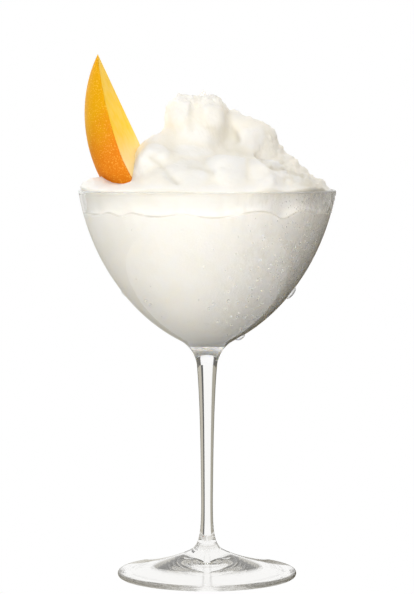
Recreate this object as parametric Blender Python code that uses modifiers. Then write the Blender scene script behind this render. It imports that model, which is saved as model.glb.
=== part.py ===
"""Frozen pina colada: a stemmed glass heaped with white slush, and a slice of mango stuck in it.

Metres, +Z up. The origin is the centre of the foot's underside, on the surface that the glass stands on.
"""

import math

import bpy
import numpy as np
from mathutils import Vector
from mathutils.geometry import interpolate_bezier

MM = 0.001

# Glass, in millimetres: radius and height above the table.
GLASS_HEIGHT = 175.0
RIM_RADIUS = 58.0
WALL_AT_RIM = 1.2
WALL_AT_BELLY = 1.35
BELLY_RADIUS = 40.4
BELLY_HEIGHT = 132.1
NECK_RADIUS = 4.6
NECK_HEIGHT = 96.0
STEM_RADIUS = 2.7
STEM_HEIGHT = 40.0
FOOT_RADIUS = 40.5
FOOT_EDGE = 2.4
FOOT_ROUNDING = 1.0
FOOT_HUB_RADIUS = 6.9
FOOT_HUB_HEIGHT = 12.0
RESTING_RING_RADIUS = 36.5
UNDERSIDE_DOME = 5.6
BOWL_FLOOR_HEIGHT = 108.5
GLASS_SEGMENTS = 48

# Drink. Heights are above the rim.
DRINK_GAP = 0.4
HEART_DEPTH = 15.0
CONTACT_DEPTH = 11.0
CONTACT_WAVE = 0.9
SHRINK_LEFT = 2.6
SHRINK_RIGHT = 4.4
LIP_RADIUS = 56.0
LIP_HEIGHT = -0.2
DRINK_SEGMENTS = 76
HEAP_RINGS = 34
BOWL_RINGS = 13
LUMP_BLEND = 1.5
WARPS = ((13.0, 1.6), (5.5, 0.9))
SWELL_SIZE = 13.0
SWELL_DEPTH = 0.8
PUFF_SIZE = 8.0
PUFF_DEPTH = 1.1
# Turns the noise's lattice off the heap's own axes.
LATTICE_TURN = np.array([[0.66, -0.54, 0.52], [0.74, 0.38, -0.55], [0.10, 0.75, 0.65]])

# The heaped drink's lumps: centre x, y and height above the rim, then radii in x, y and z.
LUMPS = {
    "base": ((-1.5, 0, -1.6), (57.4, 57.6, 6.2)),
    "left_toe": ((-49, -6, 0.5), (6.5, 12, 5.4)),
    "left_body": ((-10, -2, 2), (24, 26, 20.5)),
    "right_body": ((14, 7, 2), (24.5, 22, 19)),
    "back_body": ((-2, 22, -1), (36, 24, 19)),
    "peak_left": ((-11.0, 1, 31.4), (8.0, 11, 11.2)),
    "peak_right": ((0.6, 1.5, 30), (10.0, 11, 10.8)),
    "peak_front": ((-6, 2, 14), (15, 16, 24)),
    "left_shoulder": ((-19.4, -1, 13.4), (11, 14, 11.4)),
    "right_peak": ((18.6, 4, 20.0), (9.0, 12, 10.6)),
    "right_knob": ((26.6, 4, 22.6), (4.6, 6, 5.0)),
    "right_step": ((29.6, 3, 10.6), (7.0, 9, 7.4)),
    "right_toe": ((38.0, 1, 3.4), (7.0, 9, 6.8)),
    "rim_toe": ((46.0, -2, 0.4), (6, 8, 4.6)),
    "front_left": ((-8, -26, -3), (23, 27, 15)),
    "front_middle": ((9, -26, -1.5), (14.4, 25, 18.2)),
    "front_right": ((22.5, -24, -1.5), (13.6, 24, 15.6)),
    "front_right_toe": ((37, -18, -3), (14, 22, 9.6)),
    "mango_lobe": ((-22.2, -16, 10.5), (9.4, 11, 9.5)),
    "mango_toe": ((-18.6, -28, -3), (10.8, 22, 11.0)),
    "peak_knob": ((4.2, 1, 35.2), (4.0, 5, 3.4)),
    "peak_step": ((8.8, 2, 29.4), (3.4, 5, 3.8)),
    "gap_knob": ((12.4, 3, 28.6), (3.0, 5, 2.8)),
    "right_top": ((17.4, 2, 27.4), (5.2, 6, 4.0)),
    "right_edge": ((28.2, 3, 18.4), (3.0, 5, 3.4)),
    "step_knob": ((32.0, 2, 12.8), (3.4, 5, 3.6)),
    "step_foot": ((36.2, 1, 8.6), (3.2, 5, 4.0)),
    "toe_knob": ((41.4, 0, 5.8), (3.0, 4, 3.6)),
    "rim_knob": ((48.6, -2, 0.2), (2.8, 5, 2.6)),
    "back_lobe": ((10, 24, 9), (13, 12, 13)),
    "back_left_lobe": ((-15, 24, 8), (12, 12, 12)),
    "back_left_toe": ((-32, 26, 1), (10, 10, 10)),
    "back_right_toe": ((31, 22, 2), (10, 11, 11)),
    "back_toe": ((-1, 39, 0), (12, 9, 9)),
}

# Mango slice: a lune of the fruit, its thin inner edge straight between the two tips.
SLICE_LENGTH = 96.0
SLICE_DEPTH = 25.0
SLICE_ANGLE = 50.0
SLICE_TWIST = 9.0
SKIN_BULGE = 0.045
TIP_AT = (-49.3, 9.0, 61.0)
SLICE_LEAN = 25.4
SKIN_FACING = 41.0
SLICE_SEGMENTS = 22
SLICE_STATIONS = 26
SOCKET_GAP = 0.4


def new_material(name, colour, roughness, transmission=0.0):
    material = bpy.data.materials.new(name)
    material.use_nodes = True
    shader = material.node_tree.nodes["Principled BSDF"]
    shader.inputs["Base Color"].default_value = (*colour, 1.0)
    shader.inputs["Roughness"].default_value = roughness
    shader.inputs["Transmission Weight"].default_value = transmission
    return material


def new_collection(name):
    collection = bpy.data.collections.new(name)
    bpy.context.scene.collection.children.link(collection)
    return collection


def new_object(name, mesh, collection, material=None):
    obj = bpy.data.objects.new(name, mesh)
    collection.objects.link(obj)
    if material:
        mesh.materials.append(material)
    return obj


def curve_points(start, start_handle, end_handle, end, count):
    """Points of a cubic Bezier curve in the (radius, height) plane, in millimetres, without its last one."""
    knots = [Vector((*point, 0.0)) for point in (start, start_handle, end_handle, end)]
    return [(p.x, p.y) for p in interpolate_bezier(*knots, count + 1)][:-1]


def bowl_inside():
    """The bowl's inner wall, from its floor's centre up to the rim."""
    belly = (BELLY_RADIUS - WALL_AT_BELLY * 0.81, BELLY_HEIGHT + WALL_AT_BELLY * 0.59)
    rim = (RIM_RADIUS - WALL_AT_RIM, GLASS_HEIGHT - WALL_AT_RIM / 2)
    lower = curve_points(
        (0.0, BOWL_FLOOR_HEIGHT),
        (16.5, BOWL_FLOOR_HEIGHT),
        (belly[0] - 8.2, belly[1] - 11.3),
        belly,
        7,
    )
    upper = curve_points(
        belly,
        (belly[0] + 8.8, belly[1] + 12.1),
        (rim[0] - 2.9, rim[1] - 15.2),
        rim,
        7,
    )
    return lower + upper + [rim]


def glass_outside():
    """The outer surface from the rim down the bowl, stem and foot to the resting ring, then in to the underside's centre."""
    rim = (RIM_RADIUS, GLASS_HEIGHT - WALL_AT_RIM / 2)
    belly = (BELLY_RADIUS, BELLY_HEIGHT)
    shoulder = (12.5, 107.2)
    neck = (NECK_RADIUS, NECK_HEIGHT)
    stem = (STEM_RADIUS, STEM_HEIGHT)
    hub = (FOOT_HUB_RADIUS, FOOT_HUB_HEIGHT)
    edge = (FOOT_RADIUS - FOOT_ROUNDING, FOOT_EDGE)
    points = [(RIM_RADIUS - WALL_AT_RIM / 2, GLASS_HEIGHT)]
    points += curve_points(rim, (55.1, 159.2), (49.5, 144.6), belly, 7)
    points += curve_points(belly, (33.4, 121.9), (23.6, 113.0), shoulder, 6)
    points += curve_points(shoulder, (8.2, 105.1), (5.3, 101.0), neck, 5)
    points += curve_points(neck, (3.5, 84.0), (2.95, 66.0), stem, 4)
    points += curve_points(stem, (2.5, 22.0), (2.8, 14.8), hub, 6)
    points += curve_points(hub, (12.0, 8.9), (26.0, 4.5), edge, 5)
    points += [
        edge,
        (FOOT_RADIUS, FOOT_EDGE / 2),
        (FOOT_RADIUS - FOOT_ROUNDING, 0.0),
        (RESTING_RING_RADIUS, 0.0),
    ]
    points += curve_points(
        (RESTING_RING_RADIUS - 0.5, 0.08),
        (27.0, 3.1),
        (15.0, UNDERSIDE_DOME),
        (0.0, UNDERSIDE_DOME),
        4,
    )
    return points + [(0.0, UNDERSIDE_DOME)]


def make_glass(collection):
    """The glass, turned in one piece from its profile."""
    profile = [(r * MM, 0.0, z * MM) for r, z in bowl_inside() + glass_outside()]
    mesh = bpy.data.meshes.new("glass")
    mesh.from_pydata(profile, [(i, i + 1) for i in range(len(profile) - 1)], [])
    glass = new_object("glass", mesh, collection, new_material("clear_glass", (0.95, 0.96, 0.96), 0.03, 1.0))
    turn = glass.modifiers.new("turn", "SCREW")
    turn.axis = "Z"
    turn.steps = turn.render_steps = GLASS_SEGMENTS
    turn.use_merge_vertices = True
    turn.merge_threshold = 0.00001
    turn.use_smooth_shade = True
    return glass


def lattice_noise(points, seed):
    """Smooth noise from -1 to 1: random values at whole-number points, blended between them."""
    points = points @ LATTICE_TURN
    corner = np.floor(points).astype(np.int64)
    part = points - corner
    fade = part * part * part * (part * (part * 6 - 15) + 10)
    total = np.zeros(len(points))
    for step in np.ndindex(2, 2, 2):
        at = corner + np.array(step)
        mixed = (at[:, 0] * 73856093) ^ (at[:, 1] * 19349663) ^ (at[:, 2] * 83492791) ^ (seed * 2654435)
        mixed = (mixed ^ (mixed >> 13)) * 1274126177 & 0x7FFFFFFF
        value = (mixed ^ (mixed >> 16)) % 65536 / 32767.5 - 1
        total += value * np.prod(np.where(step, fade, 1 - fade), axis=1)
    return total


def warped(points):
    """The points shifted by two sizes of noise, so that no lump stays a plain ellipsoid; not shifted at the lip."""
    fade = np.clip(points[:, 2:] / 6, 0, 1)
    for (size, reach), seed in zip(WARPS, (11, 21)):
        shift = np.stack([lattice_noise(points / size + 4.4, seed + way) for way in range(3)], axis=1)
        points = points + reach * shift * fade
    return points


def lump_distance(points):
    """Each point's distance from the joined lumps, negative inside, and the direction that leads away from them."""
    centres, radii = np.array(list(LUMPS.values()), float).transpose(1, 0, 2)
    scaled = (warped(points)[:, None] - centres) / radii
    out = scaled / radii
    size = np.linalg.norm(scaled, axis=2)
    steep = np.maximum(np.linalg.norm(out, axis=2), 1e-9)
    distance = size * (size - 1) / steep
    nearest = distance.min(axis=1, keepdims=True)
    weight = np.exp((nearest - distance) / LUMP_BLEND)
    total = weight.sum(axis=1, keepdims=True)
    away = ((weight / total / steep)[:, :, None] * out).sum(axis=1)
    away /= np.maximum(np.linalg.norm(away, axis=1, keepdims=True), 1e-9)
    return (nearest - LUMP_BLEND * np.log(total))[:, 0], away


def onto_lumps(rings):
    """Draws a grid of points onto the joined lumps."""
    points = rings.reshape(-1, 3)
    distance, away = lump_distance(points)
    return (points - away * np.clip(distance, -4, 4)[:, None]).reshape(rings.shape)


def heap_rings(rings, segments):
    """The heap as rings of points from its top down to the lip: a tent drawn down onto the lumps while it evens out."""
    down = (np.arange(rings) + 1.0)[:, None] / rings
    around = (np.arange(segments) * 2 * np.pi / segments)[None, :]
    radius = LIP_RADIUS * down**0.9
    heap = np.stack(
        [
            -5 * (1 - down) + radius * np.cos(around),
            2 * (1 - down) + radius * np.sin(around),
            LIP_HEIGHT + 50 * (1 - down) + 0 * around,
        ],
        axis=2,
    )
    lip = heap[-1].copy()
    for step in range(60):
        top = heap[0].mean(axis=0) + (0, 0, 0.02)
        above = np.concatenate([np.broadcast_to(top, (1, segments, 3)), heap[:-1]])
        below = np.concatenate([heap[1:], lip[None]])
        beside = (np.roll(heap, 1, axis=1) + np.roll(heap, -1, axis=1)) / 2
        heap = heap * 0.5 + (above + below) * 0.125 + beside * 0.25
        heap = onto_lumps(heap)
        heap[-1] = lip
    return heap


def roughened(heap):
    """Moves each point of the heap out or in, to make broad swells and rounded puffs, less so near the lip."""
    points = heap.reshape(-1, 3)
    away = lump_distance(points)[1]
    x, y, z = points.T
    ragged = np.clip(0.2 + 0.8 * np.max([(x - 22) / 20, (z - 37) / 7, (y - 4) / 14], axis=0), 0.2, 1)
    depth = SWELL_DEPTH * lattice_noise(points / SWELL_SIZE + 2.2, 5)
    depth += PUFF_DEPTH * (np.abs(lattice_noise(points / PUFF_SIZE + 7.3, 1)) * 1.6 - 0.5) * ragged
    depth *= np.clip(z / 5, 0, 1)
    return (points + away * depth[:, None]).reshape(heap.shape)


def bowl_reach(elevation, azimuth):
    """The drink's surface along each ray inside the bowl: against the wall up to a wavy line, and shrunk from it above."""
    radius, height = np.array(bowl_inside()).T
    height = height - GLASS_HEIGHT
    radius = np.append(radius, radius[-1])
    height = np.append(height, 8.0)
    angle = np.arctan2(height + HEART_DEPTH, radius)
    reach = np.interp(elevation, angle, np.hypot(radius, height + HEART_DEPTH))
    level = reach * np.sin(elevation) - HEART_DEPTH
    wave = np.sin(5 * azimuth + 0.6) + 0.6 * np.sin(11 * azimuth + 2.0) + 0.4 * np.sin(17 * azimuth)
    above = np.clip((level + CONTACT_DEPTH - CONTACT_WAVE * wave) / 2.0, 0, 1)
    rightward = 0.5 + 0.5 * np.cos(azimuth)
    shrink = SHRINK_LEFT + (SHRINK_RIGHT - SHRINK_LEFT) * rightward**3
    closing = 1 - 0.7 * np.clip((level + 4.0) / 4.0, 0, 1)
    return reach - DRINK_GAP - above * above * (3 - 2 * above) * shrink * closing


def bowl_rings(rings, segments):
    """The drink inside the bowl as rings of points, from just under the lip down to the bowl's floor."""
    share = (np.arange(rings) + 1.0) / (rings + 1)
    elevation = np.radians(np.interp(share, (0, 0.38, 1), (12.5, 2.0, -90.0)))[:, None]
    azimuth = (np.arange(segments) * 2 * np.pi / segments)[None, :]
    reach = bowl_reach(elevation, azimuth)
    level = reach * np.cos(elevation)
    height = reach * np.sin(elevation) - HEART_DEPTH
    return np.stack([level * np.cos(azimuth), level * np.sin(azimuth), height], axis=2)


def closed_mesh(name, top, rings, bottom):
    """A closed mesh from rings of points, in millimetres, between two end points."""
    count, segments = rings.shape[:2]
    points = np.concatenate([[top], rings.reshape(-1, 3), [bottom]]) * MM
    first = np.arange(segments)
    after = (first + 1) % segments
    caps = [(0, 1 + i, 1 + j) for i, j in zip(first, after)]
    last = 1 + (count - 1) * segments
    caps += [(len(points) - 1, last + j, last + i) for i, j in zip(first, after)]
    bands = [
        (1 + row * segments + i, 1 + (row + 1) * segments + i, 1 + (row + 1) * segments + j, 1 + row * segments + j)
        for row in range(count - 1)
        for i, j in zip(first, after)
    ]
    mesh = bpy.data.meshes.new(name)
    mesh.from_pydata(points.tolist(), [], caps + bands)
    mesh.shade_smooth()
    return mesh


def slice_rings(stations, segments):
    """The slice's sections from its upper tip down: rounded wedges, each point on the inner edge and each arc the skin."""
    down = ((np.arange(stations) + 1.0) / (stations + 1))[:, None]
    turn = (np.arange(segments) * 2.0 / segments - 1)[None, :]
    along = (1 - np.cos(down * math.pi)) / 2
    chord_radius = (SLICE_LENGTH**2 / 4 + SLICE_DEPTH**2) / (2 * SLICE_DEPTH)
    from_middle = (along - 0.5) * SLICE_LENGTH
    depth = np.sqrt(chord_radius**2 - from_middle**2) - (chord_radius - SLICE_DEPTH)
    half = math.radians(SLICE_ANGLE / 2)
    angle = np.clip(turn * 2, -1, 1) * half
    to_edge = np.clip(np.abs(turn) * 2 - 1, 0, 1)
    reach = np.where(np.abs(turn) <= 0.5, 1 - SKIN_BULGE * (turn * 2) ** 2, (1 - SKIN_BULGE) * (1 - to_edge))
    deep = depth * reach * np.cos(angle)
    wide = depth * reach * np.sin(angle)
    facing = np.radians(SKIN_FACING + SLICE_TWIST * np.clip(1 - along / 0.5, 0, 1))
    left = deep * np.cos(facing) - wide * np.sin(facing)
    forward = deep * np.sin(facing) + wide * np.cos(facing)
    return slice_point(along, left, forward)


def slice_point(along, left, forward):
    """A point at a share of the slice's length, and so far left of its inner edge and in front of it."""
    lean = math.radians(SLICE_LEAN)
    travel = along * SLICE_LENGTH
    x = TIP_AT[0] + travel * math.sin(lean) - left * math.cos(lean)
    z = TIP_AT[2] - travel * math.cos(lean) - left * math.sin(lean)
    return np.stack([x, TIP_AT[1] - forward, z + GLASS_HEIGHT], axis=-1)


def make_mango(collection):
    rings = slice_rings(SLICE_STATIONS, SLICE_SEGMENTS)
    mesh = closed_mesh("mango_slice", slice_point(0.0, 0.0, 0.0), rings, slice_point(1.0, 0.0, 0.0))
    return new_object("mango_slice", mesh, collection, new_material("mango", (0.93, 0.5, 0.05), 0.45))


def make_drink(collection, cutters, mango):
    """The slush, from the top of its heap to the bowl's floor, with a socket for the slice."""
    heap = roughened(heap_rings(HEAP_RINGS, DRINK_SEGMENTS))
    rings = np.concatenate([heap, bowl_rings(BOWL_RINGS, DRINK_SEGMENTS)]) + (0, 0, GLASS_HEIGHT)
    top = rings[0].mean(axis=0)
    mesh = closed_mesh("frozen_drink", top, rings, (0, 0, BOWL_FLOOR_HEIGHT + DRINK_GAP))
    drink = new_object("frozen_drink", mesh, collection, new_material("slush", (0.94, 0.93, 0.89), 0.6))
    socket = new_object("mango_socket", mango.data.copy(), cutters)
    socket.hide_render = True
    socket.display_type = "WIRE"
    grow = socket.modifiers.new("clearance", "DISPLACE")
    grow.strength = SOCKET_GAP * MM
    grow.mid_level = 0.0
    cut = drink.modifiers.new("socket", "BOOLEAN")
    cut.operation = "DIFFERENCE"
    cut.object = socket
    return drink


def main():
    for obj in list(bpy.data.objects):
        bpy.data.objects.remove(obj)
    parts = new_collection("frozen_pina_colada")
    cutters = new_collection("cutters")
    make_glass(parts)
    mango = make_mango(parts)
    make_drink(parts, cutters, mango)


main()
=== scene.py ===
import math

import bpy
import numpy as np
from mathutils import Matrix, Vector


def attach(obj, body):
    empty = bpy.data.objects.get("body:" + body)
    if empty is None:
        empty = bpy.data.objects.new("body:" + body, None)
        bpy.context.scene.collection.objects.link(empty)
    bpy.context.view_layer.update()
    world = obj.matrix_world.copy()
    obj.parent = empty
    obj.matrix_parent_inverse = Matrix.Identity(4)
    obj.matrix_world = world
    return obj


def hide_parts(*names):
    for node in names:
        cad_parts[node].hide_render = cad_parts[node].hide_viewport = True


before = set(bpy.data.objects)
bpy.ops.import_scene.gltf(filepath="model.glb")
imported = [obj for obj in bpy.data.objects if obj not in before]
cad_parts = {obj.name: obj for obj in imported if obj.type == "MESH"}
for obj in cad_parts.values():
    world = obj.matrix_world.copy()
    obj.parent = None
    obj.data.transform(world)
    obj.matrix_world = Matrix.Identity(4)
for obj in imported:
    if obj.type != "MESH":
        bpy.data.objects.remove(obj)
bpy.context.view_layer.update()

mm = 0.001  # shapes are worked out in millimetres; the drink's and the mango's heights are above the rim


def shareBetween(values, start, end):
    # 0 up to the start, 1 from the end on and a straight line between them. The end may be the lower one.
    return np.clip((values - start) / (end - start), 0, 1)


def bell(distance, width):
    # 1 in the middle, and exp(-(distance / width)^2) away from it.
    return np.exp(-((distance / width) ** 2))


def unit(vectors):
    # Each one divided by its length.
    return vectors / np.maximum(np.linalg.norm(vectors, axis=1, keepdims=True), 1e-9)


def turns(count):
    # Angles evenly round a full turn.
    return np.arange(count) * 2 * np.pi / count


def roundAxis(radius, angle, height):
    # (r cos a, r sin a, height)
    return np.stack(np.broadcast_arrays(radius * np.cos(angle), radius * np.sin(angle), height), axis=-1)


def ringFaces(count, segments):
    # The faces of a closed skin over rings: bands of quads, and a fan of triangles to a point at each end.
    first = np.arange(segments)
    after = (first + 1) % segments
    upper = 1 + np.arange(count - 1)[:, None] * segments
    lower = upper + segments
    bands = np.stack([upper + first, lower + first, lower + after, upper + after], axis=2)
    last = 1 + (count - 1) * segments
    topFan = np.stack([0 * first, 1 + first, 1 + after], axis=1)
    bottomFan = np.stack([0 * first + last + segments, last + after, last + first], axis=1)
    return topFan, bands, bottomFan


def meshFromRings(name, rings, top, bottom):
    topFan, bands, bottomFan = ringFaces(*rings.shape[:2])
    points = np.concatenate([[top], rings.reshape(-1, 3), [bottom]]) * mm
    mesh = bpy.data.meshes.new(name)
    faces = topFan.tolist() + bottomFan.tolist() + bands.reshape(-1, 4).tolist()
    mesh.from_pydata(points.tolist(), [], faces)
    mesh.shade_smooth()
    return mesh


def addPiece(name, mesh, material, replaced=None):
    piece = bpy.data.objects.new(name, mesh)
    bpy.context.scene.collection.objects.link(piece)
    mesh.materials.append(material)
    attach(piece, "root")
    if replaced:
        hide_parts(replaced)
    print(f"{name}: {len(mesh.polygons)} faces")
    return piece


def addValues(mesh, name, values, top=0, bottom=0):
    # One number for each point of the rings, and one for each end.
    attribute = mesh.attributes.new(name, "FLOAT", "POINT")
    attribute.data.foreach_set("value", np.concatenate([[top], values.ravel(), [bottom]]).astype(np.float32))


def newTree(name):
    material = bpy.data.materials.new(name)
    material.use_nodes = True
    material.node_tree.nodes.clear()
    return material, material.node_tree


def addNode(tree, kind, inputs=None, **settings):
    node = tree.nodes.new("ShaderNode" + kind)
    for key, value in settings.items():
        setattr(node, key, value)
    for key, value in (inputs or {}).items():
        socket = node.inputs[key]
        if isinstance(value, bpy.types.NodeSocket):
            tree.links.new(value, socket)
        else:
            socket.default_value = (*value, 1) if socket.type == "RGBA" else value
    return node


def mixColours(tree, share, first, second):
    return addNode(tree, "Mix", {0: share, 6: first, 7: second}, data_type="RGBA").outputs[2]


def ramp(tree, value, low, high, lowTo=0.0, highTo=1.0):
    # A smooth step from one value to the other.
    inputs = {"Value": value, "From Min": low, "From Max": high, "To Min": lowTo, "To Max": highTo}
    return addNode(tree, "MapRange", inputs, interpolation_type="SMOOTHSTEP").outputs[0]


def combine(tree, operation, first, second):
    return addNode(tree, "Math", {0: first, 1: second}, operation=operation).outputs[0]


def noise(tree, place, scale, detail=2.0, roughness=0.5):
    inputs = {"Vector": place, "Scale": scale, "Detail": detail, "Roughness": roughness}
    return addNode(tree, "TexNoise", inputs).outputs[0]


def objectPlace(tree, stretch=(1, 1, 1)):
    place = addNode(tree, "TexCoord").outputs["Object"]
    return addNode(tree, "Mapping", {"Vector": place, "Scale": stretch}).outputs[0]


def placeRamp(tree, axis, limits, shares=(0.0, 1.0)):
    # From one share to the other, smoothly, between two places on an axis, in millimetres.
    part = addNode(tree, "SeparateXYZ", {0: objectPlace(tree)}).outputs[axis]
    return ramp(tree, part, limits[0] * mm, limits[1] * mm, *shares)


def readValues(tree, name):
    return addNode(tree, "Attribute", attribute_name=name).outputs["Fac"]


def finishSurface(tree, kind, inputs):
    addNode(tree, "OutputMaterial", {"Surface": addNode(tree, kind, inputs).outputs[0]})


# the stemmed glass

glassSettings = {
    "height": 175.0,
    "rimRadius": 58.0,
    "rimWall": 1.2,
    "belly": (40.4, 132.1),
    "bellyWall": 1.35,
    "bellyWay": (0.81, 0.59),  # straight across the wall there: outwards, down
    "bowlFloor": 108.5,
    "shoulder": (12.5, 107.2),
    "neck": (4.6, 96.0),
    "stem": (2.7, 40.0),
    "hub": (6.9, 12.0),
    "footRadius": 40.5,
    "footEdge": 2.4,
    "restingRing": 36.5,
    "undersideDome": 5.6,
    # each curve's handles: the inside's are measured from its knots, the others from the axis and the table
    "insideHandles": [((16.5, 0.0), (-8.2, -11.3)), ((8.8, 12.1), (-2.9, -15.2))],
    "outsideHandles": [
        ((55.1, 159.2), (49.5, 144.6)), ((33.4, 121.9), (23.6, 113.0)), ((8.2, 105.1), (5.3, 101.0)),
    ],
    "stemHandles": [((3.5, 84.0), (2.95, 66.0)), ((2.5, 22.0), (2.8, 14.8)), ((12.0, 8.9), (26.0, 4.5))],
    "undersideHandle": (27.0, 3.1),
    "domeFlat": 15.0,  # how far out the dome's top stays nearly flat
    "segments": 192,
    # a faint tint in the foot and the stem, and the heights between which each ends
    "footTint": (0.925, 0.918, 0.90),
    "footTintEnds": (8.0, 20.0),
    "stemTint": (0.965, 0.96, 0.948),
    "stemTintEnds": (90.0, 105.0),
    # mist on the cold bowl: the heights where it starts, and its share from the middle to the right
    "fogStarts": (108.0, 116.0),
    "fogAcross": (0.0, 45.0),
    "fogMiddleToRight": (0.1, 1.0),
    "fogRoughness": 0.3,
    "fogCover": 0.10,
    "fogColour": (0.86, 0.85, 0.81),
    "streakScale": 420.0,
    "cloudScale": 60.0,
    # painted reflection, a dark line on the rim's bead: how far below the top it starts, where it grows to
    # each side, and its shares
    "paintedRimLineDepth": (0.9, 0.4),
    "paintedRimLineRight": (20.0, 56.0),
    "paintedRimLineRightShares": (0.14, 0.8),
    "paintedRimLineLeft": (-30.0, -55.0),
    "paintedRimLineLeftShares": (0.0, 0.3),
    "paintedRimLineColour": (0.22, 0.21, 0.18),
}


def bezier(start, startHandle, endHandle, end, count):
    # A cubic Bezier curve without its last point: the four points are weighted by how far along it is.
    t = (np.arange(count) / count)[:, None]
    weights = np.concatenate([(1 - t) ** 3, 3 * t * (1 - t) ** 2, 3 * t**2 * (1 - t), t**3], axis=1)
    return weights @ np.array([start, startHandle, endHandle, end], float)


def curveThrough(knots, handles, counts):
    # Bezier curves from knot to knot.
    parts = zip(knots, handles, knots[1:], counts)
    return np.concatenate([bezier(start, *pair, end, count) for start, pair, end, count in parts])


def arc(centre, radii, fromDegrees, toDegrees, count):
    # Part of an ellipse in the (radius, height) plane.
    angle = np.radians(np.linspace(fromDegrees, toDegrees, count))
    return np.stack([centre[0] + radii[0] * np.cos(angle), centre[1] + radii[1] * np.sin(angle)], axis=1)


def insideProfile(form=glassSettings):
    # The bowl's inner wall from its floor's centre up to the rim.
    outwards, down = form["bellyWay"]
    floor = (0.0, form["bowlFloor"])
    belly = (form["belly"][0] - form["bellyWall"] * outwards, form["belly"][1] + form["bellyWall"] * down)
    rim = (form["rimRadius"] - form["rimWall"], form["height"] - form["rimWall"] / 2)
    knots = np.array([floor, belly, rim])
    handles = np.array(form["insideHandles"]) + np.stack([knots[:-1], knots[1:]], axis=1)
    return curveThrough(knots, handles, (26, 26))[1:]


def bowlOutside(form=glassSettings):
    # The bowl's outer wall from the rim down to the top of the stem.
    rim = (form["rimRadius"], form["height"] - form["rimWall"] / 2)
    knots = [rim, form["belly"], form["shoulder"], form["neck"]]
    return curveThrough(knots, form["outsideHandles"], (26, 22, 20))


def stemAndFoot(form=glassSettings):
    # Down the stem, over the foot, round its edge and in under its dome.
    edge = (form["footRadius"] - 1.0, form["footEdge"])
    ring, dome = form["restingRing"], form["undersideDome"]
    knots = [form["neck"], form["stem"], form["hub"], edge]
    return np.concatenate([
        curveThrough(knots, form["stemHandles"], (14, 26, 22)),
        arc((edge[0], form["footEdge"] / 2), (1.0, form["footEdge"] / 2), 90, -90, 11),
        [(ring, 0.0)],
        bezier((ring - 0.5, 0.08), form["undersideHandle"], (form["domeFlat"], dome), (0.0, dome), 24),
    ])


def fogShares(tree, form=glassSettings):
    # Mist in vertical streaks, thicker to the right.
    onBowl = placeRamp(tree, "Z", form["fogStarts"])
    rightward = placeRamp(tree, "X", form["fogAcross"], form["fogMiddleToRight"])
    streaks = noise(tree, objectPlace(tree, (1.0, 1.0, 0.22)), form["streakScale"], 3.0, 0.6)
    clouds = noise(tree, objectPlace(tree), form["cloudScale"], 2.0)
    streaks = combine(tree, "MULTIPLY", ramp(tree, streaks, 0.35, 0.68), ramp(tree, clouds, 0.3, 0.6))
    return combine(tree, "MULTIPLY", combine(tree, "MULTIPLY", streaks, rightward), onBowl)


def paintedRimLineShares(tree, form=glassSettings):
    # Painted reflection: a dark line on the rim's bead, a little in the middle, more to the left and most to
    # the right.
    onRim = placeRamp(tree, "Z", [form["height"] - depth for depth in form["paintedRimLineDepth"]])
    right = placeRamp(tree, "X", form["paintedRimLineRight"], form["paintedRimLineRightShares"])
    left = placeRamp(tree, "X", form["paintedRimLineLeft"], form["paintedRimLineLeftShares"])
    return combine(tree, "MULTIPLY", onRim, combine(tree, "ADD", right, left))


def glassMaterial(form=glassSettings):
    material, tree = newTree("clearGlass")
    fog = fogShares(tree)
    # painted reflection: along this line the rim's bead turns dark and loses its clearness
    paintedRimLine = paintedRimLineShares(tree)
    clearness = ramp(tree, fog, 0.0, 1.0, 1.0, 1 - form["fogCover"])
    tint = mixColours(tree, placeRamp(tree, "Z", form["footTintEnds"]), form["footTint"], form["stemTint"])
    tint = mixColours(tree, placeRamp(tree, "Z", form["stemTintEnds"]), tint, (1, 1, 1))
    tint = mixColours(tree, fog, tint, form["fogColour"])
    finishSurface(tree, "BsdfPrincipled", {
        "Base Color": mixColours(tree, paintedRimLine, tint, form["paintedRimLineColour"]),
        "Roughness": ramp(tree, fog, 0.0, 1.0, 0.0, form["fogRoughness"]),
        "IOR": 1.5,
        "Transmission Weight": combine(tree, "MULTIPLY", clearness, ramp(tree, paintedRimLine, 0.0, 1.0, 1.0, 0.0)),
    })
    return material


def makeGlass(form=glassSettings):
    # One profile turned round the axis: up inside the bowl, over the rim, and down outside to under the foot.
    rimMiddle = (form["rimRadius"] - form["rimWall"] / 2, form["height"] - form["rimWall"] / 2)
    lip = arc(rimMiddle, (form["rimWall"] / 2,) * 2, 180, 0, 9)
    profile = np.concatenate([insideProfile(), lip[:-1], bowlOutside(), stemAndFoot()])
    radius, height = profile.T[:, :, None]
    rings = roundAxis(radius, turns(form["segments"]), height)
    mesh = meshFromRings("stemmedGlass", rings, (0, 0, form["bowlFloor"]), (0, 0, form["undersideDome"]))
    glass = addPiece("stemmedGlass", mesh, glassMaterial(), "glass")
    glass.visible_shadow = False  # lamps reach the drink through the wall
    glass.visible_diffuse = False


# the frozen drink

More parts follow.
